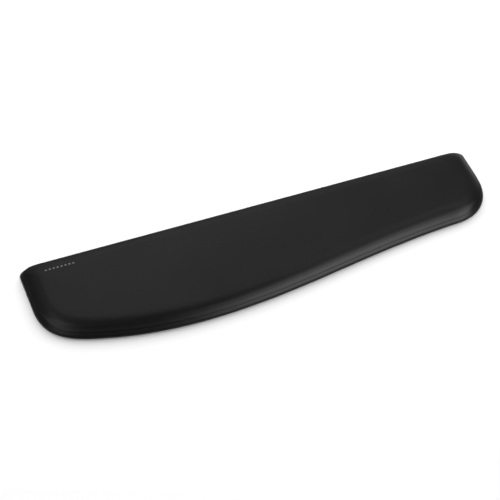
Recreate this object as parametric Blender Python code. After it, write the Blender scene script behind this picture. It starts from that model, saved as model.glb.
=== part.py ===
"""A gel wrist rest for a full-size keyboard, as the layers it is made of.

The row frame has its origin on the desk, under the middle of the object's box. +X runs along the rest, to
the right of the person using it, +Y runs away from them, towards the keyboard, and +Z is up.

Every layer follows one plan outline, set in from it by its own amount. A layer is a stack of such loops, each
at its own inset and height, skinned from one to the next, with a flat cap at each end of the stack.
"""

import math

import bmesh
import bpy
from mathutils import Vector

MM = 0.001

# The whole object, in millimetres, as everything below is until it becomes a mesh
LENGTH = 445.0
DEPTH = 115.0
HEIGHT = 13.0
GAP = 0.3

# The plan outline: straight back edge and ends, and a front edge that bulges left of the middle
HALF_LENGTH = LENGTH / 2
RIGHT_END_LENGTH = 39.0
LEFT_END_LENGTH = 50.0

# How far each back corner's rounding reaches along the back edge and along the end. The first pair is for the
# outside, and the second for the top of the shoulder
LEFT_CORNER = ((9.0, 8.0), (30.0, 9.0))
RIGHT_CORNER = ((13.0, 8.0), (17.0, 10.0))

# The front edge's knots, from the right end to the left one. Each has its place (x from the middle, y from
# the back edge), the way the edge is heading there, and how far its curve handles reach before and after it
FRONT_KNOTS = (
    {"at": (HALF_LENGTH, -RIGHT_END_LENGTH), "heading": (0.0, -1.0), "before": 0.0, "after": 18.0},
    {"at": (180.5, -84.9), "heading": (-1.0, -0.05), "before": 32.0, "after": 44.0},
    {"at": (50.0, -101.6), "heading": (-1.0, -0.17), "before": 44.0, "after": 43.0},
    {"at": (-79.0, -DEPTH), "heading": (-1.0, 0.0), "before": 43.0, "after": 29.0},
    {"at": (-165.0, -104.5), "heading": (-1.0, 0.265), "before": 29.0, "after": 31.5},
    {"at": (-HALF_LENGTH, -LEFT_END_LENGTH), "heading": (0.0, 1.0), "before": 38.7, "after": 0.0},
)

# How many straight pieces each stretch of a loop has
BACK_STEPS = 6
CORNER_STEPS = 8
END_STEPS = 2
FRONT_STEPS = (10, 8, 8, 6, 10)

# The side and the shoulder: the tray's rim leans in to the seam, and an ellipse rises from there to the top
RIM_BOTTOM_INSET = 0.9
SEAM_INSET = 2.3
SEAM_HEIGHT = 4.9
SHOULDER_INSET = 17.0
SHOULDER_STEPS = 8
INSIDE_SHOULDER_STEPS = 6

# The layers, from the desk up
BASE_SHEET = 1.0
BASE_SHEET_EDGE = 0.25
ADHESIVE = 0.3
ADHESIVE_INSET = 5.2
TRAY_FLOOR = 1.0
TRAY_RIM_WALL = 0.9
TRAY_RECESS_INSET = 4.6
SKIN = 0.9
FILM = 0.3
FILM_INSET = 5.3
FOAM_TOP = 7.6
FOAM_INSET = 4.6
HEM_THICKNESS = 0.4
HEM_HEIGHT = 2.2
HEM_INSET = 3.7

RIM_BOTTOM = BASE_SHEET + GAP
RIM_TOP = SEAM_HEIGHT - GAP
TRAY_FLOOR_UNDER = RIM_BOTTOM + ADHESIVE + GAP
TRAY_FLOOR_TOP = TRAY_FLOOR_UNDER + TRAY_FLOOR
UPPER_ADHESIVE_BOTTOM = TRAY_FLOOR_TOP + GAP
FOAM_BOTTOM = UPPER_ADHESIVE_BOTTOM + ADHESIVE + GAP
FILM_BOTTOM = FOAM_TOP + GAP
GEL_BOTTOM = FILM_BOTTOM + FILM + GAP

SHARP_ANGLE = math.radians(35)

# What the layers are made of, each as a base colour and a roughness
SKIN_LOOK = ((0.02, 0.02, 0.02), 0.45)
BINDING_LOOK = ((0.03, 0.03, 0.03), 0.8)
GEL_LOOK = ((0.03, 0.05, 0.07), 0.25)
FILM_LOOK = ((0.4, 0.42, 0.45), 0.3)
FOAM_LOOK = ((0.05, 0.05, 0.055), 0.95)
ADHESIVE_LOOK = ((0.55, 0.5, 0.38), 0.5)
TRAY_LOOK = ((0.016, 0.016, 0.016), 0.55)
RUBBER_LOOK = ((0.012, 0.012, 0.012), 0.85)


def clear_scene():
    for item in list(bpy.data.objects):
        bpy.data.objects.remove(item, do_unlink=True)


def bezier_stretch(start, end, steps):
    """The points and headings of one stretch of the front edge, without its last point."""
    first = Vector(start["at"])
    last = Vector(end["at"])
    leave = first + Vector(start["heading"]).normalized() * start["after"]
    arrive = last - Vector(end["heading"]).normalized() * end["before"]
    stretch = []
    for step in range(steps):
        u = step / steps
        v = 1 - u
        point = first * v**3 + leave * 3 * v * v * u + arrive * 3 * v * u * u + last * u**3
        heading = (leave - first) * v * v + (arrive - leave) * 2 * v * u + (last - arrive) * u * u
        stretch.append((point, heading.normalized()))
    return stretch


def straight(start, end, steps):
    """Points from start to end, without the end."""
    first = Vector(start)
    return [first.lerp(Vector(end), step / steps) for step in range(steps)]


def corner(centre, reach, start_angle):
    """A quarter of an ellipse, clockwise from start_angle, without its last point."""
    angles = [start_angle - math.pi / 2 * step / CORNER_STEPS for step in range(CORNER_STEPS)]
    return [Vector(centre) + Vector((reach.x * math.cos(a), reach.y * math.sin(a))) for a in angles]


def outline(inset):
    """The closed plan outline, clockwise from the back left corner, set in by inset all round."""
    side = HALF_LENGTH - inset
    share = inset / SHOULDER_INSET
    left, right = [Vector(outside).lerp(Vector(top), share) for outside, top in (LEFT_CORNER, RIGHT_CORNER)]
    left_turn = (left.x - side, -inset - left.y)
    right_turn = (side - right.x, -inset - right.y)
    points = straight((left_turn[0], -inset), (right_turn[0], -inset), BACK_STEPS)
    points += corner(right_turn, right, math.pi / 2)
    points += straight((side, right_turn[1]), (side, -RIGHT_END_LENGTH), END_STEPS)
    for start, end, steps in zip(FRONT_KNOTS, FRONT_KNOTS[1:], FRONT_STEPS):
        for point, heading in bezier_stretch(start, end, steps):
            points.append(point + inset * Vector((heading.y, -heading.x)))
    points += straight((-side, -LEFT_END_LENGTH), (-side, left_turn[1]), END_STEPS)
    points += corner(left_turn, left, math.pi)
    return [point + Vector((0.0, DEPTH / 2)) for point in points]


def shoulder(depth_in, start_height, steps):
    """Loops up the shoulder, depth_in below the outer face, as (inset, height) from start_height up."""
    across = SHOULDER_INSET - SEAM_INSET - depth_in
    rise = HEIGHT - SEAM_HEIGHT - depth_in
    first = math.asin((start_height - SEAM_HEIGHT) / rise)
    loops = []
    for step in range(steps + 1):
        angle = first + (math.pi / 2 - first) * step / steps
        loops.append((SHOULDER_INSET - across * math.cos(angle), SEAM_HEIGHT + rise * math.sin(angle)))
    return loops


def material(name, colour, roughness):
    made = bpy.data.materials.new(name)
    made.use_nodes = True
    shader = made.node_tree.nodes["Principled BSDF"]
    shader.inputs["Base Color"].default_value = (*colour, 1.0)
    shader.inputs["Roughness"].default_value = roughness
    shader.inputs["Metallic"].default_value = 0.0
    return made


def layer(name, loops, look, ring=False):
    """One solid skinned over loops of (inset, height). A ring joins its last loop to its first.

    The object stands at the layer's lowest height, and its mesh rises from there.
    """
    mesh = bmesh.new()
    lowest = min(height for _, height in loops)
    rows = []
    for inset, height in loops:
        level = (height - lowest) * MM
        rows.append([mesh.verts.new((p.x * MM, p.y * MM, level)) for p in outline(inset)])
    pairs = list(zip(rows, rows[1:]))
    if ring:
        pairs.append((rows[-1], rows[0]))
    else:
        mesh.faces.new(rows[0])
        mesh.faces.new(reversed(rows[-1]))
    count = len(rows[0])
    for lower, upper in pairs:
        for i in range(count):
            j = (i + 1) % count
            mesh.faces.new((lower[j], lower[i], upper[i], upper[j]))
    data = bpy.data.meshes.new(name)
    mesh.to_mesh(data)
    mesh.free()
    data.shade_smooth()
    data.set_sharp_from_angle(angle=SHARP_ANGLE)
    data.materials.append(material(name, *look))
    piece = bpy.data.objects.new(name, data)
    piece.location = (0.0, 0.0, lowest * MM)
    bpy.context.collection.objects.link(piece)


def sheet(name, inset, bottom, thickness, look):
    layer(name, [(inset, bottom), (inset, bottom + thickness)], look)


def build_rubber_base():
    """The non-slip sheet that the rest stands on, with its upper edge taken off."""
    loops = [
        (0.0, 0.0),
        (0.0, BASE_SHEET - BASE_SHEET_EDGE),
        (BASE_SHEET_EDGE, BASE_SHEET),
    ]
    layer("rubber_base", loops, RUBBER_LOOK)


def build_base_tray():
    """The moulded tray: a floor with a recess under it for the adhesive, and a rim that leans in."""
    wall_inside = SEAM_INSET + TRAY_RIM_WALL
    loops = [
        (TRAY_RECESS_INSET, TRAY_FLOOR_UNDER),
        (TRAY_RECESS_INSET, RIM_BOTTOM),
        (RIM_BOTTOM_INSET, RIM_BOTTOM),
        (SEAM_INSET, RIM_TOP),
        (wall_inside, RIM_TOP),
        (wall_inside, TRAY_FLOOR_TOP),
    ]
    layer("base_tray", loops, TRAY_LOOK)


def build_foam_core():
    """The firm foam slab that carries the gel, clear of the cover's shoulder and of the hem strip."""
    sheet("foam_core", FOAM_INSET, FOAM_BOTTOM, FOAM_TOP - FOAM_BOTTOM, FOAM_LOOK)


def build_gel_pad():
    """The gel, cast to the inside of the cover's shoulder and top."""
    loops = shoulder(SKIN + GAP, GEL_BOTTOM, INSIDE_SHOULDER_STEPS)
    layer("gel_pad", loops, GEL_LOOK)


def build_top_cover():
    """The skin: down its inside from the top to the seam, then up its outside."""
    inside = shoulder(SKIN, SEAM_HEIGHT, INSIDE_SHOULDER_STEPS)
    outside = shoulder(0.0, SEAM_HEIGHT, SHOULDER_STEPS)
    layer("top_cover", inside[::-1] + outside, SKIN_LOOK)


def build_hem_strip():
    """The binding band behind the seam, which joins the cover's hem to the tray's rim."""
    bottom = TRAY_FLOOR_TOP + GAP
    top = bottom + HEM_HEIGHT
    inside = HEM_INSET + HEM_THICKNESS
    loops = [(inside, bottom), (HEM_INSET, bottom), (HEM_INSET, top), (inside, top)]
    layer("hem_strip", loops, BINDING_LOOK, ring=True)


def build():
    clear_scene()
    build_rubber_base()
    sheet("lower_adhesive", ADHESIVE_INSET, RIM_BOTTOM, ADHESIVE, ADHESIVE_LOOK)
    build_base_tray()
    sheet("upper_adhesive", ADHESIVE_INSET, UPPER_ADHESIVE_BOTTOM, ADHESIVE, ADHESIVE_LOOK)
    build_foam_core()
    sheet("gel_film", FILM_INSET, FILM_BOTTOM, FILM, FILM_LOOK)
    build_gel_pad()
    build_hem_strip()
    build_top_cover()


build()
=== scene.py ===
import math

import bmesh
import bpy
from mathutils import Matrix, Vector
from mathutils.geometry import delaunay_2d_cdt


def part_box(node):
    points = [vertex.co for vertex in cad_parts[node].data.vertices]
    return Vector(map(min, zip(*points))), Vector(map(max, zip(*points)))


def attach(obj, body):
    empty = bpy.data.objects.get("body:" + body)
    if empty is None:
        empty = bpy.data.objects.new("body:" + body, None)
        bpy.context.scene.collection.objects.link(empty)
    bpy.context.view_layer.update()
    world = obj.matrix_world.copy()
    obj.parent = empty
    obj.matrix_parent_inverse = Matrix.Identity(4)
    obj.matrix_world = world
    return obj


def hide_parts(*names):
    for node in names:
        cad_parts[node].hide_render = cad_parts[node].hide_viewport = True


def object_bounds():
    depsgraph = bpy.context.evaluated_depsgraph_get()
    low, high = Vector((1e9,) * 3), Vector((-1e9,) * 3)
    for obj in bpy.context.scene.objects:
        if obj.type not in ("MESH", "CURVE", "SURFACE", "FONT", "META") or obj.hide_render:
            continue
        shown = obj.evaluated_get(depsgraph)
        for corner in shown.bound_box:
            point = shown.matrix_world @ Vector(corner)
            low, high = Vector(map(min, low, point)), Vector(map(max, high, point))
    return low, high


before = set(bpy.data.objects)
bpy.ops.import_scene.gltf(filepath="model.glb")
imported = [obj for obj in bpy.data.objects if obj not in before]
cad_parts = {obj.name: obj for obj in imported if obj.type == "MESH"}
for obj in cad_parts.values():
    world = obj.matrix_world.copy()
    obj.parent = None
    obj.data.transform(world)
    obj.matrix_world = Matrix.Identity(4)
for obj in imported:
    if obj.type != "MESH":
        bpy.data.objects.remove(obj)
cad_box = [list(corner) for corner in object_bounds()]

MM = 0.001

# The frame's own sizes. They are in millimetres, as everything is until it becomes a mesh, but for the studio
LOW, HIGH = [Vector(corner) / MM for corner in cad_box]
HALF_LENGTH = HIGH.x
DEPTH = HIGH.y - LOW.y
BACK = HIGH.y


def heights(node):
    """The lowest and highest height of a CAD node."""
    low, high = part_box(node)
    return low.z / MM, high.z / MM


BASE_BOTTOM, BASE_TOP = heights("rubber_base")
RIM_BOTTOM, RIM_TOP = heights("base_tray")
FOAM_BOTTOM, FOAM_TOP = heights("foam_core")
GEL_BOTTOM, _ = heights("gel_pad")
SEAM_HEIGHT, PLATEAU = heights("top_cover")

# The plan outline, as the CAD has it: a straight back edge, straight ends, and a front edge drawn by Bezier
# knots, each with its place (x from the middle, y from the back edge), its heading and its handles' reach
RIGHT_END_LENGTH = 39.0
LEFT_END_LENGTH = 50.0
FRONT_KNOTS = (
    {"at": (HALF_LENGTH, -RIGHT_END_LENGTH), "heading": (0.0, -1.0), "before": 0.0, "after": 18.0},
    {"at": (180.5, -84.9), "heading": (-1.0, -0.05), "before": 32.0, "after": 44.0},
    {"at": (50.0, -101.6), "heading": (-1.0, -0.17), "before": 44.0, "after": 43.0},
    {"at": (-79.0, -DEPTH), "heading": (-1.0, 0.0), "before": 43.0, "after": 29.0},
    {"at": (-165.0, -104.5), "heading": (-1.0, 0.265), "before": 29.0, "after": 31.5},
    {"at": (-HALF_LENGTH, -LEFT_END_LENGTH), "heading": (0.0, 1.0), "before": 38.7, "after": 0.0},
)
SEAM_INSET = 2.3
SHOULDER_INSET = 17.0

# How far each back corner's rounding reaches along the back edge and along the end: first on the outside,
# then at the top of the shoulder
LEFT_CORNER = ((9.0, 8.0), (30.0, 9.0))
RIGHT_CORNER = ((13.0, 8.0), (17.0, 10.0))

# How many pieces each stretch of a loop has. The middle of a corner arc is where the top's grid has a corner
BACK_STEPS = 110
CORNER_STEPS = 8
END_STEPS = 12
FRONT_STEPS = (22, 34, 34, 28, 24)
LONG_STEPS = BACK_STEPS + CORNER_STEPS
LOOP_STEPS = BACK_STEPS + 2 * CORNER_STEPS + 2 * END_STEPS + sum(FRONT_STEPS)
SHORT_STEPS = LOOP_STEPS // 2 - LONG_STEPS


def bezier_stretch(start, end, steps):
    """The points and headings of one stretch of the front edge, without its last point."""
    first = Vector(start["at"])
    last = Vector(end["at"])
    leave = first + Vector(start["heading"]).normalized() * start["after"]
    arrive = last - Vector(end["heading"]).normalized() * end["before"]
    stretch = []
    for step in range(steps):
        u = step / steps
        v = 1 - u
        point = first * v**3 + leave * 3 * v * v * u + arrive * 3 * v * u * u + last * u**3
        heading = (leave - first) * v * v + (arrive - leave) * 2 * v * u + (last - arrive) * u * u
        stretch.append((point, heading.normalized()))
    return stretch


def straight(start, end, steps):
    """Points from start to end, without the end."""
    first = Vector(start)
    return [first.lerp(Vector(end), step / steps) for step in range(steps)]


def corner(centre, reach, start_angle):
    """A quarter of an ellipse, clockwise from start_angle, without its last point."""
    angles = [start_angle - math.pi / 2 * step / CORNER_STEPS for step in range(CORNER_STEPS)]
    return [Vector(centre) + Vector((reach.x * math.cos(a), reach.y * math.sin(a))) for a in angles]


def outline(inset):
    """The plan outline, clockwise from the middle of the back left corner, set in by inset all round."""
    side = HALF_LENGTH - inset
    share = inset / SHOULDER_INSET
    left, right = [Vector(outside).lerp(Vector(top), share) for outside, top in (LEFT_CORNER, RIGHT_CORNER)]
    left_turn = (left.x - side, -inset - left.y)
    right_turn = (side - right.x, -inset - right.y)
    points = straight((left_turn[0], -inset), (right_turn[0], -inset), BACK_STEPS)
    points += corner(right_turn, right, math.pi / 2)
    points += straight((side, right_turn[1]), (side, -RIGHT_END_LENGTH), END_STEPS)
    for start, end, steps in zip(FRONT_KNOTS, FRONT_KNOTS[1:], FRONT_STEPS):
        for point, heading in bezier_stretch(start, end, steps):
            points.append(point + inset * Vector((heading.y, -heading.x)))
    points += straight((-side, -LEFT_END_LENGTH), (-side, left_turn[1]), END_STEPS)
    points += corner(left_turn, left, math.pi)
    half = CORNER_STEPS // 2
    points = points[-half:] + points[:-half]
    return [point + Vector((0.0, BACK)) for point in points]


def quarter(middle, radius, start_angle, steps):
    """(inset, height) points round a quarter of a circle or ellipse, turning clockwise in that plane."""
    arc = []
    for step in range(steps + 1):
        angle = start_angle - math.pi / 2 * step / steps
        arc.append((middle[0] + radius[0] * math.cos(angle), middle[1] + radius[1] * math.sin(angle)))
    return arc


def shoulder(depth_in, start_height, steps):
    """Loops up the shoulder from start_height, depth_in below its face: inset, height, angle round it."""
    across = SHOULDER_INSET - SEAM_INSET - depth_in
    rise = PLATEAU - SEAM_HEIGHT - depth_in
    first = math.asin((start_height - SEAM_HEIGHT) / rise)
    loops = []
    for step in range(steps + 1):
        angle = first + (math.pi / 2 - first) * step / steps
        inset = SHOULDER_INSET - across * math.cos(angle)
        loops.append((inset, SEAM_HEIGHT + rise * math.sin(angle), angle))
    return loops


def add_loop(mesh, inset, height):
    """One loop of points, at an inset and a height."""
    return [mesh.verts.new((p.x * MM, p.y * MM, height * MM)) for p in outline(inset)]


def skin(mesh, loops):
    """Faces over a list of loops, each an inset and a height. Gives back the points, loop by loop."""
    rows = [add_loop(mesh, loop[0], loop[1]) for loop in loops]
    count = len(rows[0])
    for lower, upper in zip(rows, rows[1:]):
        for i in range(count):
            j = (i + 1) % count
            mesh.faces.new((lower[j], lower[i], upper[i], upper[j]))
    return rows


def grid_cap(mesh, ring, facing_up):
    """Closes a loop with a grid of four-sided faces, blended from its sides. Gives back the grid's points."""
    back = ring[: LONG_STEPS + 1]
    right = ring[LONG_STEPS : LONG_STEPS + SHORT_STEPS + 1]
    front = ring[LONG_STEPS + SHORT_STEPS : 2 * LONG_STEPS + SHORT_STEPS + 1][::-1]
    left = (ring[2 * LONG_STEPS + SHORT_STEPS :] + ring[:1])[::-1]
    grid = []
    for j in range(SHORT_STEPS + 1):
        v = j / SHORT_STEPS
        if j == 0:
            grid.append(back)
            continue
        if j == SHORT_STEPS:
            grid.append(front)
            continue
        row = [left[j]]
        for i in range(1, LONG_STEPS):
            u = i / LONG_STEPS
            across = back[i].co.lerp(front[i].co, v) + left[j].co.lerp(right[j].co, u)
            corners = back[0].co.lerp(back[-1].co, u).lerp(front[0].co.lerp(front[-1].co, u), v)
            row.append(mesh.verts.new(across - corners))
        row.append(right[j])
        grid.append(row)
    for upper, lower in zip(grid, grid[1:]):
        for i in range(LONG_STEPS):
            face = (upper[i], lower[i], lower[i + 1], upper[i + 1])
            mesh.faces.new(face if facing_up else face[::-1])
    return grid


# Faces that meet at more than this many degrees keep a sharp edge between them
SOFT_CREASE = 60.0
TRAY_CREASE = 50.0
RUBBER_CREASE = 35.0
PRINT_CREASE = 40.0


def finish_piece(name, mesh, surface, crease):
    """Turns a bmesh into a named piece with its material."""
    bmesh.ops.recalc_face_normals(mesh, faces=mesh.faces)
    data = bpy.data.meshes.new(name)
    mesh.to_mesh(data)
    mesh.free()
    data.shade_smooth()
    data.set_sharp_from_angle(angle=math.radians(crease))
    data.materials.append(surface)
    piece = bpy.data.objects.new(name, data)
    bpy.context.collection.objects.link(piece)
    return piece


# Materials


def grey(level):
    return (level, level, level)


class Look:
    """A Principled material whose colour, roughness and bump come from noise in the object's own space."""

    def __init__(self, name):
        self.material = bpy.data.materials.new(name)
        self.material.use_nodes = True
        self.tree = self.material.node_tree
        self.shader = self.tree.nodes["Principled BSDF"]
        self.place = self.tree.nodes.new("ShaderNodeTexCoord").outputs["Object"]
        self.normal = None

    def link(self, start, end):
        self.tree.links.new(start, end)

    def noise(self, size, detail=2.0, stretch=(1.0, 1.0, 1.0)):
        """Noise with features about size millimetres across."""
        mapping = self.tree.nodes.new("ShaderNodeMapping")
        mapping.inputs["Scale"].default_value = stretch
        self.link(self.place, mapping.inputs["Vector"])
        node = self.tree.nodes.new("ShaderNodeTexNoise")
        node.inputs["Scale"].default_value = 1 / (size * MM)
        node.inputs["Detail"].default_value = detail
        self.link(mapping.outputs["Vector"], node.inputs["Vector"])
        return node.outputs["Fac"]

    def cells(self, size):
        """Voronoi cells about size millimetres across."""
        node = self.tree.nodes.new("ShaderNodeTexVoronoi")
        node.inputs["Scale"].default_value = 1 / (size * MM)
        self.link(self.place, node.inputs["Vector"])
        return node.outputs["Distance"]

    def spread(self, value, low, high, start=0.3, stop=0.7):
        """value's range from start to stop, spread over low to high. Noise mostly keeps to 0.3 to 0.7."""
        node = self.tree.nodes.new("ShaderNodeMapRange")
        node.inputs["From Min"].default_value = start
        node.inputs["From Max"].default_value = stop
        node.inputs["To Min"].default_value = low
        node.inputs["To Max"].default_value = high
        self.link(value, node.inputs["Value"])
        return node.outputs["Result"]

    def add(self, first, second):
        """The sum of two values."""
        node = self.tree.nodes.new("ShaderNodeMath")
        node.operation = "ADD"
        self.link(first, node.inputs[0])
        self.link(second, node.inputs[1])
        return node.outputs["Value"]

    def colours(self, value, dark, light):
        """A colour between dark and light, by value."""
        node = self.tree.nodes.new("ShaderNodeMix")
        node.data_type = "RGBA"
        node.inputs["A"].default_value = (*dark, 1.0)
        node.inputs["B"].default_value = (*light, 1.0)
        self.link(value, node.inputs["Factor"])
        self.link(node.outputs["Result"], self.shader.inputs["Base Color"])

    def rough(self, value):
        self.link(value, self.shader.inputs["Roughness"])

    def bump(self, value, depth, strength):
        """A bump of depth millimetres, on top of the ones before it."""
        node = self.tree.nodes.new("ShaderNodeBump")
        node.inputs["Strength"].default_value = strength
        node.inputs["Distance"].default_value = depth * MM
        self.link(value, node.inputs["Height"])
        if self.normal:
            self.link(self.normal, node.inputs["Normal"])
        self.normal = node.outputs["Normal"]
        self.link(self.normal, self.shader.inputs["Normal"])


def cover_look():
    """Satin black polyurethane skin, with a very fine grain, faint clouding and a touch of sheen."""
    look = Look("cover_skin")
    clouds = look.noise(45.0, detail=3.0)
    look.colours(look.spread(clouds, 0.0, 1.0), dark=grey(0.0053), light=grey(0.0068))
    broad = look.spread(clouds, 0.315, 0.335)
    fine = look.spread(look.noise(6.0), -0.012, 0.012)
    look.rough(look.add(broad, fine))
    look.bump(look.cells(0.42), depth=0.012, strength=0.5)
    look.bump(look.noise(0.16), depth=0.006, strength=0.4)
    look.shader.inputs["Specular IOR Level"].default_value = 0.5
    look.shader.inputs["Sheen Weight"].default_value = 0.03
    look.shader.inputs["Sheen Roughness"].default_value = 0.5
    return look.material


def tray_look():
    """Moulded black plastic with a fine spark-eroded texture."""
    look = Look("tray")
    look.colours(look.spread(look.noise(30.0), 0.0, 1.0), dark=grey(0.012), light=grey(0.016))
    look.rough(look.spread(look.noise(2.0), 0.33, 0.39))
    look.bump(look.noise(0.25, detail=3.0), depth=0.008, strength=0.5)
    return look.material


def rubber_look():
    """Matt black non-slip rubber, a little dusty in patches."""
    look = Look("rubber_sheet")
    dust = look.spread(look.noise(18.0, detail=4.0), 0.0, 1.0)
    look.colours(dust, dark=grey(0.042), light=(0.058, 0.058, 0.0575))
    look.rough(look.spread(look.noise(3.0), 0.42, 0.58))
    look.bump(look.noise(0.35, detail=4.0), depth=0.02, strength=0.6)
    return look.material


def gel_look():
    """Dark soft gel that light sinks into a little, with a faint swim of colour."""
    look = Look("gel")
    swim = look.spread(look.noise(25.0), 0.0, 1.0)
    look.colours(swim, dark=(0.02, 0.035, 0.05), light=(0.035, 0.06, 0.085))
    look.rough(look.spread(look.noise(8.0), 0.18, 0.3))
    look.bump(look.noise(5.0), depth=0.15, strength=0.4)
    look.shader.inputs["Subsurface Weight"].default_value = 0.15
    return look.material


def foam_look():
    """Dark grey open-cell foam, with painted shade deep in its pores."""
    look = Look("foam")
    pores = look.cells(0.7)
    # Painted shade: the colour darkens towards each pore's middle, where the bump is deepest.
    pore_shade = look.spread(pores, 0.0, 1.0, start=0.1, stop=0.6)
    look.colours(pore_shade, dark=(0.02, 0.02, 0.022), light=(0.07, 0.07, 0.076))
    look.rough(look.spread(look.noise(4.0), 0.9, 1.0))
    look.bump(pores, depth=0.2, strength=0.8)
    return look.material


def film_look():
    """Thin clear film, slightly milky, with shallow wrinkles."""
    look = Look("film")
    milk = look.spread(look.noise(20.0), 0.0, 1.0)
    look.colours(milk, dark=(0.36, 0.38, 0.41), light=(0.44, 0.46, 0.49))
    look.rough(look.spread(look.noise(5.0), 0.22, 0.38))
    look.bump(look.noise(9.0, stretch=(0.4, 1.0, 1.0)), depth=0.1, strength=0.5)
    return look.material


def adhesive_look():
    """Pale amber adhesive sheet, laid down with a few dry patches."""
    look = Look("adhesive")
    patches = look.spread(look.noise(12.0, detail=3.0), 0.0, 1.0)
    look.colours(patches, dark=(0.48, 0.42, 0.29), light=(0.6, 0.55, 0.43))
    look.rough(look.spread(look.noise(4.0), 0.35, 0.6))
    look.bump(look.noise(1.5), depth=0.03, strength=0.5)
    return look.material


def binding_look():
    """Matt black band with the fine unevenness of woven thread."""
    look = Look("binding")
    threads = look.spread(look.noise(0.5, detail=1.0), 0.0, 1.0)
    look.colours(threads, dark=grey(0.016), light=grey(0.036))
    look.rough(look.spread(look.noise(3.0), 0.8, 0.95))
    look.bump(look.noise(0.35, detail=1.0, stretch=(1.0, 1.0, 2.0)), depth=0.05, strength=0.8)
    return look.material


def print_look():
    """Pale grey pad-printed ink, slightly uneven."""
    look = Look("printed_ink")
    look.colours(look.spread(look.noise(0.6), 0.0, 1.0), dark=grey(0.12), light=grey(0.18))
    look.rough(look.spread(look.noise(0.5), 0.4, 0.6))
    look.bump(look.noise(0.2), depth=0.005, strength=0.4)
    return look.material


# The cover

SKIN_THICKNESS = 0.9
HEM_EDGE = 0.12
HEM_SEGMENTS = 3
SEAM_GAP = 0.1
HEM_HEIGHT = RIM_TOP + SEAM_GAP
COVER_SHOULDER_STEPS = 16

# The gel's swell, which crowns the cover. The sheet is held fast up the shoulder as far as HELD_TO, and it is
# free from FREE_FROM on, as angles round the shoulder
CROWN = 0.7
SWELL_PRESSURE = 4.0
SWELL_FRAMES = 20
SWELL_QUALITY = 6
HELD_TO = math.radians(40)
FREE_FROM = math.radians(80)


def smoothly(value, start, stop):
    """0 at start and before, 1 at stop and after, with no corner between."""
    share = min(1.0, max(0.0, (value - start) / (stop - start)))
    return share * share * (3 - 2 * share)


def blow_up(sheet, held):
    """How far each point of a sheet moves when cloth simulation blows it up from below."""
    group = sheet.vertex_groups.new(name="held")
    for index, share in enumerate(held):
        group.add([index], share, "REPLACE")
    cloth = sheet.modifiers.new("cloth", "CLOTH")
    cloth.settings.quality = SWELL_QUALITY
    cloth.settings.vertex_group_mass = group.name
    cloth.settings.use_pressure = True
    cloth.settings.uniform_pressure_force = SWELL_PRESSURE
    cloth.settings.effector_weights.gravity = 0.0
    for frame_number in range(1, SWELL_FRAMES + 1):
        bpy.context.scene.frame_set(frame_number)
    blown = sheet.evaluated_get(bpy.context.evaluated_depsgraph_get()).data
    moves = [after.co - before.co for before, after in zip(sheet.data.vertices, blown.vertices)]
    sheet.modifiers.remove(cloth)
    sheet.vertex_groups.remove(group)
    bpy.context.scene.frame_set(1)
    return moves


def keep_shape(piece):
    """Replaces a piece's mesh by what its modifiers make of it, and removes them."""
    shaped = bpy.data.meshes.new_from_object(piece.evaluated_get(bpy.context.evaluated_depsgraph_get()))
    piece.modifiers.clear()
    shaped.name = piece.data.name
    piece.data = shaped


def make_cover():
    """The skin: one sheet over shoulder and top, blown up a little and then thickened inwards.

    Gives the cover, and its points' moves, loop by loop up the shoulder and row by row over the top.
    """
    mesh = bmesh.new()
    sides = shoulder(0.0, HEM_HEIGHT, COVER_SHOULDER_STEPS)
    rows = skin(mesh, sides)
    grid = grid_cap(mesh, rows[-1], facing_up=True)
    mesh.verts.index_update()
    rows = [[point.index for point in row] for row in rows]
    grid = [[point.index for point in row] for row in grid]
    cover = finish_piece("cover", mesh, cover_look(), SOFT_CREASE)
    points = cover.data.vertices
    held = [0.0] * len(points)
    for (_, _, angle), row in zip(sides, rows):
        for index in row:
            held[index] = 1 - smoothly(angle, HELD_TO, FREE_FROM)
    moves = blow_up(cover, held)
    scale = CROWN * MM / max(move.length for move in moves)
    moves = [move * scale for move in moves]
    for point, move in zip(points, moves):
        point.co += move
    solidify = cover.modifiers.new("thickness", "SOLIDIFY")
    solidify.thickness = SKIN_THICKNESS * MM
    solidify.offset = -1.0
    solidify.use_even_offset = True
    solidify.use_quality_normals = True
    bevel = cover.modifiers.new("hem", "BEVEL")
    bevel.width = HEM_EDGE * MM
    bevel.segments = HEM_SEGMENTS
    bevel.limit_method = "ANGLE"
    bevel.angle_limit = math.radians(SOFT_CREASE)
    keep_shape(cover)
    cover.data.set_sharp_from_angle(angle=math.radians(SOFT_CREASE))
    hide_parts("top_cover")
    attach(cover, "root")
    up_shoulder = [(angle, [moves[index] for index in row]) for (_, _, angle), row in zip(sides, rows)]
    over_top = [[moves[index] for index in row] for row in grid]
    return cover, up_shoulder, over_top


# The soft core under the cover

GEL_CLEARANCE = 0.3
GEL_EDGE = 1.0
GEL_SHOULDER_STEPS = 10
FOAM_INSET = 4.6
FOAM_PULL_IN = 0.5
FOAM_SIDE_STEPS = 8

# How many pieces the rounding of an edge has
EDGE_STEPS = 4


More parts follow.
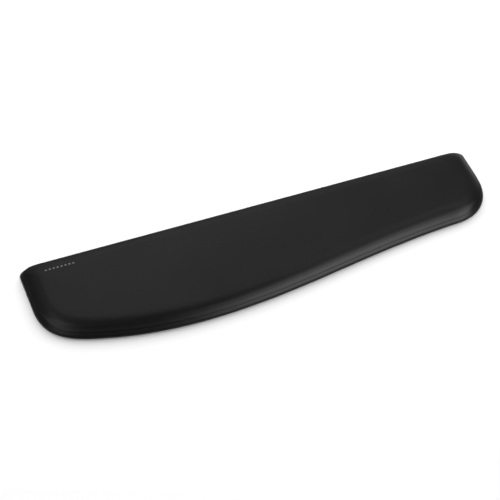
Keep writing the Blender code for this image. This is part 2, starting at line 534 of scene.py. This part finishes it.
def make_gel(up_shoulder, over_top):
    """The gel, cast to the cover's inside, so it swells as the cover does."""
    mesh = bmesh.new()
    sides = shoulder(SKIN_THICKNESS + GEL_CLEARANCE, GEL_BOTTOM + GEL_EDGE, GEL_SHOULDER_STEPS)
    edge_middle = (sides[0][0] + GEL_EDGE, GEL_BOTTOM + GEL_EDGE)
    edge = quarter(edge_middle, (GEL_EDGE, GEL_EDGE), -math.pi / 2, EDGE_STEPS)[:-1]
    rows = skin(mesh, edge + sides)
    grid_cap(mesh, rows[0], facing_up=False)
    grid = grid_cap(mesh, rows[-1], facing_up=True)
    for (_, _, angle), row in zip(sides[:-1], rows[len(edge) :]):
        above = next(k for k, (cover_angle, _) in enumerate(up_shoulder) if cover_angle > angle)
        lower_angle, lower_moves = up_shoulder[above - 1]
        upper_angle, upper_moves = up_shoulder[above]
        share = (angle - lower_angle) / (upper_angle - lower_angle)
        for point, low, high in zip(row, lower_moves, upper_moves):
            point.co += low.lerp(high, share)
    for row, moves in zip(grid, over_top):
        for point, move in zip(row, moves):
            point.co += move
    gel = finish_piece("gel", mesh, gel_look(), SOFT_CREASE)
    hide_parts("gel_pad")
    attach(gel, "root")


def make_foam():
    """The foam core, whose side pulls in towards its top and bottom."""
    mesh = bmesh.new()
    middle = (FOAM_BOTTOM + FOAM_TOP) / 2
    half = (FOAM_TOP - FOAM_BOTTOM) / 2
    loops = []
    for step in range(FOAM_SIDE_STEPS + 1):
        angle = -math.pi / 2 + math.pi * step / FOAM_SIDE_STEPS
        inset = FOAM_INSET + FOAM_PULL_IN * (1 - math.cos(angle))
        loops.append((inset, middle + half * math.sin(angle)))
    rows = skin(mesh, loops)
    grid_cap(mesh, rows[0], facing_up=False)
    grid_cap(mesh, rows[-1], facing_up=True)
    foam = finish_piece("foam", mesh, foam_look(), SOFT_CREASE)
    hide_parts("foam_core")
    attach(foam, "root")


# The hard and thin layers

TRAY_RECESS_INSET = 4.6
TRAY_RECESS_DEPTH = 0.6
TRAY_FLOOR = 1.0
TRAY_RIM_WALL = 0.9
RIM_BOTTOM_INSET = 0.9
RIM_EDGE = 0.12


def make_tray():
    """The moulded tray: a floor with a shallow recess under it, inside a rim that stands up to the seam."""
    mesh = bmesh.new()
    floor_under = RIM_BOTTOM + TRAY_RECESS_DEPTH
    wall_inside = SEAM_INSET + TRAY_RIM_WALL
    edge = (RIM_EDGE, RIM_EDGE)
    loops = [(TRAY_RECESS_INSET, floor_under), (TRAY_RECESS_INSET, RIM_BOTTOM)]
    foot = (RIM_BOTTOM_INSET + RIM_EDGE, RIM_BOTTOM + RIM_EDGE)
    loops += quarter(foot, edge, -math.pi / 2, EDGE_STEPS)
    head = (SEAM_INSET + RIM_EDGE, RIM_TOP - RIM_EDGE)
    loops += quarter(head, edge, math.pi, EDGE_STEPS)
    loops += [(wall_inside, RIM_TOP), (wall_inside, floor_under + TRAY_FLOOR)]
    rows = skin(mesh, loops)
    grid_cap(mesh, rows[0], facing_up=False)
    grid_cap(mesh, rows[-1], facing_up=True)
    tray = finish_piece("tray", mesh, tray_look(), TRAY_CREASE)
    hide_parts("base_tray")
    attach(tray, "root")


# The non-slip sheet stands on a flat rim and on studs, which reach down from the field inside the rim. The
# studs' middles keep STUD_BORDER away from the outline. Points of the field within SAME_POINT count as one
BASE_EDGE = 0.18
BASE_EDGE_STEPS = 3
FOOT_RIM = 2.5
FIELD_HEIGHT = 0.3
STUD_PITCH = 6.0
STUD_FOOT_RADIUS = 1.2
STUD_ROOT_RADIUS = 1.45
STUD_SIDES = 12
STUD_BORDER = FOOT_RIM + 2.2 * STUD_ROOT_RADIUS
SAME_POINT = 1e-5


def inside_loop(loop, x, y):
    """Whether a point lies inside a closed loop of points."""
    found = False
    for a, b in zip(loop, loop[1:] + loop[:1]):
        if (a.y > y) != (b.y > y) and x < a.x + (y - a.y) / (b.y - a.y) * (b.x - a.x):
            found = not found
    return found


def stud_centres():
    """The places of a hexagonal grid that stand clear of the rim."""
    border = outline(STUD_BORDER)
    rows = int(DEPTH / (STUD_PITCH * math.sqrt(3) / 2)) + 1
    columns = int(2 * HALF_LENGTH / STUD_PITCH) + 1
    centres = []
    for row in range(rows):
        y = BACK - DEPTH * 0.5 + (row - rows / 2) * STUD_PITCH * math.sqrt(3) / 2
        for column in range(columns):
            x = (column - columns / 2 + 0.5 * (row % 2)) * STUD_PITCH
            if inside_loop(border, x, y):
                centres.append(Vector((x, y)))
    return centres


def add_stud(mesh, centre):
    """A stud's side and foot. Gives back the points of its root, as places in the plan and in the mesh."""
    angles = [2 * math.pi * k / STUD_SIDES for k in range(STUD_SIDES)]
    turns = [Vector((math.cos(a), math.sin(a))) for a in angles]
    root = [centre + STUD_ROOT_RADIUS * turn for turn in turns]
    root_verts = [mesh.verts.new((p.x * MM, p.y * MM, FIELD_HEIGHT * MM)) for p in root]
    foot = [centre + STUD_FOOT_RADIUS * turn for turn in turns]
    foot_verts = [mesh.verts.new((p.x * MM, p.y * MM, BASE_BOTTOM * MM)) for p in foot]
    for k in range(STUD_SIDES):
        n = (k + 1) % STUD_SIDES
        mesh.faces.new((root_verts[k], root_verts[n], foot_verts[n], foot_verts[k]))
    mesh.faces.new(foot_verts)
    return root, root_verts


def fill_field(mesh, rings):
    """Flat faces inside the first ring and outside the others, each ring given as add_stud gives a root."""
    points = []
    verts = []
    edges = []
    ring_of = []
    for number, (places, ring_verts) in enumerate(rings):
        start = len(points)
        count = len(places)
        points += places
        verts += ring_verts
        edges += [(start + k, start + (k + 1) % count) for k in range(count)]
        ring_of += [number] * count
    _, _, faces, origin, _, _ = delaunay_2d_cdt(points, edges, [], 1, SAME_POINT)
    for face in faces:
        corners = [min(origin[i]) for i in face]
        touched = {ring_of[k] for k in corners}
        if len(touched) > 1 or 0 in touched:
            mesh.faces.new([verts[k] for k in corners])


def make_rubber():
    """The non-slip sheet: a flat rim to stand on, round a field of low round studs."""
    mesh = bmesh.new()
    loops = [(FOOT_RIM + FIELD_HEIGHT, FIELD_HEIGHT), (FOOT_RIM, BASE_BOTTOM)]
    edge = (BASE_EDGE, BASE_EDGE)
    loops += quarter((BASE_EDGE, BASE_EDGE), edge, -math.pi / 2, BASE_EDGE_STEPS)
    loops += quarter((BASE_EDGE, BASE_TOP - BASE_EDGE), edge, math.pi, BASE_EDGE_STEPS)
    rows = skin(mesh, loops)
    grid_cap(mesh, rows[-1], facing_up=True)
    field_edge = [Vector((v.co.x, v.co.y)) / MM for v in rows[0]]
    studs = [add_stud(mesh, centre) for centre in stud_centres()]
    fill_field(mesh, [(field_edge, rows[0])] + studs)
    rubber = finish_piece("rubber_sheet", mesh, rubber_look(), RUBBER_CREASE)
    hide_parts("rubber_base")
    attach(rubber, "root")


def dress_frame_nodes():
    """The thin flat layers keep their CAD shape and get their own looks."""
    looks = {
        "hem_strip": binding_look(),
        "gel_film": film_look(),
        "upper_adhesive": adhesive_look(),
    }
    looks["lower_adhesive"] = looks["upper_adhesive"]
    for node, look in looks.items():
        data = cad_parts[node].data
        data.materials.clear()
        data.materials.append(look)


# The printed mark: a plain row of dots near the back left corner, laid on the cover by rays from above

PRINT_DOTS = 8
PRINT_DOT_RADIUS = 0.9
PRINT_PITCH = 3.7
PRINT_START = (-200.0, 39.5)
PRINT_DEPTH = 0.03
PRINT_DOT_SIDES = 20
PRINT_RAY_HEIGHT = 100.0


def make_print(cover):
    """Ink dots laid on the cover's top: they reach PRINT_DEPTH above it, and as far into it."""
    # The rays have to meet the cover's final mesh
    bpy.context.view_layer.update()
    mesh = bmesh.new()
    for k in range(PRINT_DOTS):
        bottom = []
        top = []
        for side in range(PRINT_DOT_SIDES):
            angle = 2 * math.pi * side / PRINT_DOT_SIDES
            x = PRINT_START[0] + k * PRINT_PITCH + PRINT_DOT_RADIUS * math.cos(angle)
            y = PRINT_START[1] + PRINT_DOT_RADIUS * math.sin(angle)
            start = Vector((x * MM, y * MM, PRINT_RAY_HEIGHT * MM))
            _, place, _, _ = cover.ray_cast(start, Vector((0, 0, -1)))
            ink = Vector((0, 0, PRINT_DEPTH * MM))
            bottom.append(mesh.verts.new(place - ink))
            top.append(mesh.verts.new(place + ink))
        mesh.faces.new(bottom[::-1])
        mesh.faces.new(top)
        for a in range(PRINT_DOT_SIDES):
            b = (a + 1) % PRINT_DOT_SIDES
            mesh.faces.new((bottom[a], bottom[b], top[b], top[a]))
    dots = finish_piece("print_dots", mesh, print_look(), PRINT_CREASE)
    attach(dots, "root")


# The studio, in metres and degrees. An azimuth is 0 in front of the object and 90 to its right

FLOOR_REACH = 6.0
FLOOR_COLOUR = grey(0.9)


def make_floor():
    """A dull white floor, which the object doesn't mirror."""
    mesh = bmesh.new()
    corners = [(x * FLOOR_REACH, y * FLOOR_REACH) for x, y in ((-1, -1), (1, -1), (1, 1), (-1, 1))]
    mesh.faces.new([mesh.verts.new((x, y, 0.0)) for x, y in corners])
    data = bpy.data.meshes.new("floor")
    mesh.to_mesh(data)
    mesh.free()
    look = bpy.data.materials.new("floor")
    look.use_nodes = True
    shader = look.node_tree.nodes["Principled BSDF"]
    shader.inputs["Base Color"].default_value = (*FLOOR_COLOUR, 1.0)
    shader.inputs["Roughness"].default_value = 1.0
    shader.inputs["Specular IOR Level"].default_value = 0.0
    data.materials.append(look)
    floor = bpy.data.objects.new("floor", data)
    floor.visible_glossy = False
    bpy.context.collection.objects.link(floor)


def place_round(thing, target, azimuth, elevation, distance):
    """Puts a light or a camera at a distance from a target, facing it."""
    a = math.radians(azimuth)
    e = math.radians(elevation)
    out = Vector((math.sin(a) * math.cos(e), -math.cos(a) * math.cos(e), math.sin(e)))
    thing.location = Vector(target) + out * distance
    thing.rotation_euler = (-out).to_track_quat("-Z", "Y").to_euler()


# The key light lights the floor and casts the contact shadow. The object doesn't mirror it
KEY_TARGET = (0.0, 0.0, 0.0)
KEY_AZIMUTH = 156.0
KEY_ELEVATION = 44.0
KEY_DISTANCE = 3.0
KEY_SIZE = (7.7, 2.7)
KEY_POWER = 278.0


def make_key_light():
    """One wide area light behind the object and to its right."""
    light = bpy.data.lights.new("key", "AREA")
    light.shape = "RECTANGLE"
    light.size, light.size_y = KEY_SIZE
    light.energy = KEY_POWER
    lamp = bpy.data.objects.new("key", light)
    place_round(lamp, KEY_TARGET, KEY_AZIMUTH, KEY_ELEVATION, KEY_DISTANCE)
    lamp.visible_glossy = False
    lamp.visible_camera = False
    bpy.context.collection.objects.link(lamp)


# The soft panels painted on the world, which the object mirrors. reach is a panel's half width and half
# height, soft is how wide its edges fade, and level is how bright it is
PANELS = (
    {"azimuth": 36.0, "elevation": -5.0, "reach": (17.0, 32.0), "soft": (22.0, 20.0), "level": 2.25},
    {"azimuth": 49.0, "elevation": 40.0, "reach": (23.0, 18.0), "soft": (26.0, 18.0), "level": 1.75},
    {"azimuth": -82.0, "elevation": 38.0, "reach": (25.0, 32.0), "soft": (24.0, 16.0), "level": 0.7},
    {"azimuth": -66.0, "elevation": -12.0, "reach": (22.0, 24.0), "soft": (20.0, 16.0), "level": 0.45},
    {"azimuth": -46.0, "elevation": 18.0, "reach": (9.0, 30.0), "soft": (16.0, 16.0), "level": 0.47},
    {"azimuth": 167.0, "elevation": 44.0, "reach": (9.0, 22.0), "soft": (16.0, 20.0), "level": 0.52},
    {"azimuth": 162.0, "elevation": 2.0, "reach": (18.0, 12.0), "soft": (16.0, 14.0), "level": 0.12},
    {"azimuth": 105.0, "elevation": 60.0, "reach": (45.0, 7.0), "soft": (30.0, 12.0), "level": 0.74},
    {"azimuth": -120.0, "elevation": 60.0, "reach": (40.0, 8.0), "soft": (30.0, 12.0), "level": 0.5},
    {"azimuth": 133.0, "elevation": -2.0, "reach": (14.0, 16.0), "soft": (12.0, 14.0), "level": 0.75},
    {"azimuth": -8.0, "elevation": 10.0, "reach": (28.0, 24.0), "soft": (20.0, 24.0), "level": 0.15},
)
WORLD_LEVEL = 0.017

# What the world is to the other rays: an even fill on dull surfaces, and a pale backdrop
FILL_LEVEL = 0.17
BACKDROP_LEVEL = 0.95


class Sky:
    """The nodes that paint the panels on the world, by the direction looked in."""

    def __init__(self, tree):
        self.tree = tree
        self.direction = tree.nodes.new("ShaderNodeTexCoord").outputs["Generated"]

    def fill(self, node, values):
        """Sets or links a node's inputs, in their order."""
        for socket, value in zip(node.inputs, values):
            if isinstance(value, (int, float, tuple)):
                socket.default_value = value
            else:
                self.tree.links.new(value, socket)
        return node

    def math(self, operation, *values):
        node = self.tree.nodes.new("ShaderNodeMath")
        node.operation = operation
        return self.fill(node, values).outputs["Value"]

    def along(self, axis):
        """How far the direction goes along an axis."""
        node = self.tree.nodes.new("ShaderNodeVectorMath")
        node.operation = "DOT_PRODUCT"
        return self.fill(node, (self.direction, axis)).outputs["Value"]

    def within(self, angle, reach, soft):
        """1 where angle is within reach of 0, and 0 past the soft edge, all in degrees."""
        node = self.tree.nodes.new("ShaderNodeMapRange")
        node.interpolation_type = "SMOOTHSTEP"
        inner = math.radians(reach - soft / 2)
        outer = math.radians(reach + soft / 2)
        return self.fill(node, (self.math("ABSOLUTE", angle), inner, outer, 1.0, 0.0)).outputs["Result"]

    def choose(self, kind, otherwise, level):
        """level for the rays of one kind, and otherwise for the rest."""
        share = self.tree.nodes.new("ShaderNodeLightPath").outputs[kind]
        return self.math("MULTIPLY_ADD", self.math("SUBTRACT", level, otherwise), share, otherwise)

    def panel(self, azimuth, elevation, reach, soft, level):
        """How bright one panel is in the direction looked in."""
        a = math.radians(azimuth)
        ahead = self.along((math.sin(a), -math.cos(a), 0.0))
        beside = self.along((math.cos(a), math.sin(a), 0.0))
        across = self.math("ARCTAN2", beside, ahead)
        climb = self.math("ARCSINE", self.along((0.0, 0.0, 1.0)))
        up = self.math("SUBTRACT", climb, math.radians(elevation))
        wide = self.within(across, reach[0], soft[0])
        tall = self.within(up, reach[1], soft[1])
        return self.math("MULTIPLY", self.math("MULTIPLY", wide, tall), level)


def make_world():
    """Dim surroundings with the panels in them, and what the other rays meet instead."""
    world = bpy.data.worlds.new("studio")
    world.use_nodes = True
    sky = Sky(world.node_tree)
    level = WORLD_LEVEL
    for panel in PANELS:
        level = sky.math("ADD", sky.panel(**panel), level)
    level = sky.choose("Is Glossy Ray", FILL_LEVEL, level)
    level = sky.choose("Is Camera Ray", level, BACKDROP_LEVEL)
    background = world.node_tree.nodes["Background"]
    background.inputs["Color"].default_value = (1.0, 1.0, 1.0, 1.0)
    world.node_tree.links.new(level, background.inputs["Strength"])
    bpy.context.scene.world = world


# The camera at the photo's viewing angle. Its lens and sensor are in millimetres
CAMERA_TARGET = (-0.01401, 0.0092, 0.0)
CAMERA_AZIMUTH = -20.61
CAMERA_ELEVATION = 47.15
CAMERA_DISTANCE = 1.69057
CAMERA_LENS = 131.74
CAMERA_SENSOR = 36.0


def make_camera():
    camera = bpy.data.objects.new("camera", bpy.data.cameras.new("camera"))
    camera.data.lens = CAMERA_LENS
    camera.data.sensor_width = CAMERA_SENSOR
    place_round(camera, CAMERA_TARGET, CAMERA_AZIMUTH, CAMERA_ELEVATION, CAMERA_DISTANCE)
    bpy.context.collection.objects.link(camera)
    bpy.context.scene.camera = camera


def make_studio():
    make_camera()
    make_floor()
    make_world()
    make_key_light()
    bpy.context.scene.view_settings.view_transform = "Standard"


cover, up_shoulder, over_top = make_cover()
make_gel(up_shoulder, over_top)
make_foam()
make_tray()
make_rubber()
dress_frame_nodes()
make_print(cover)
make_studio()
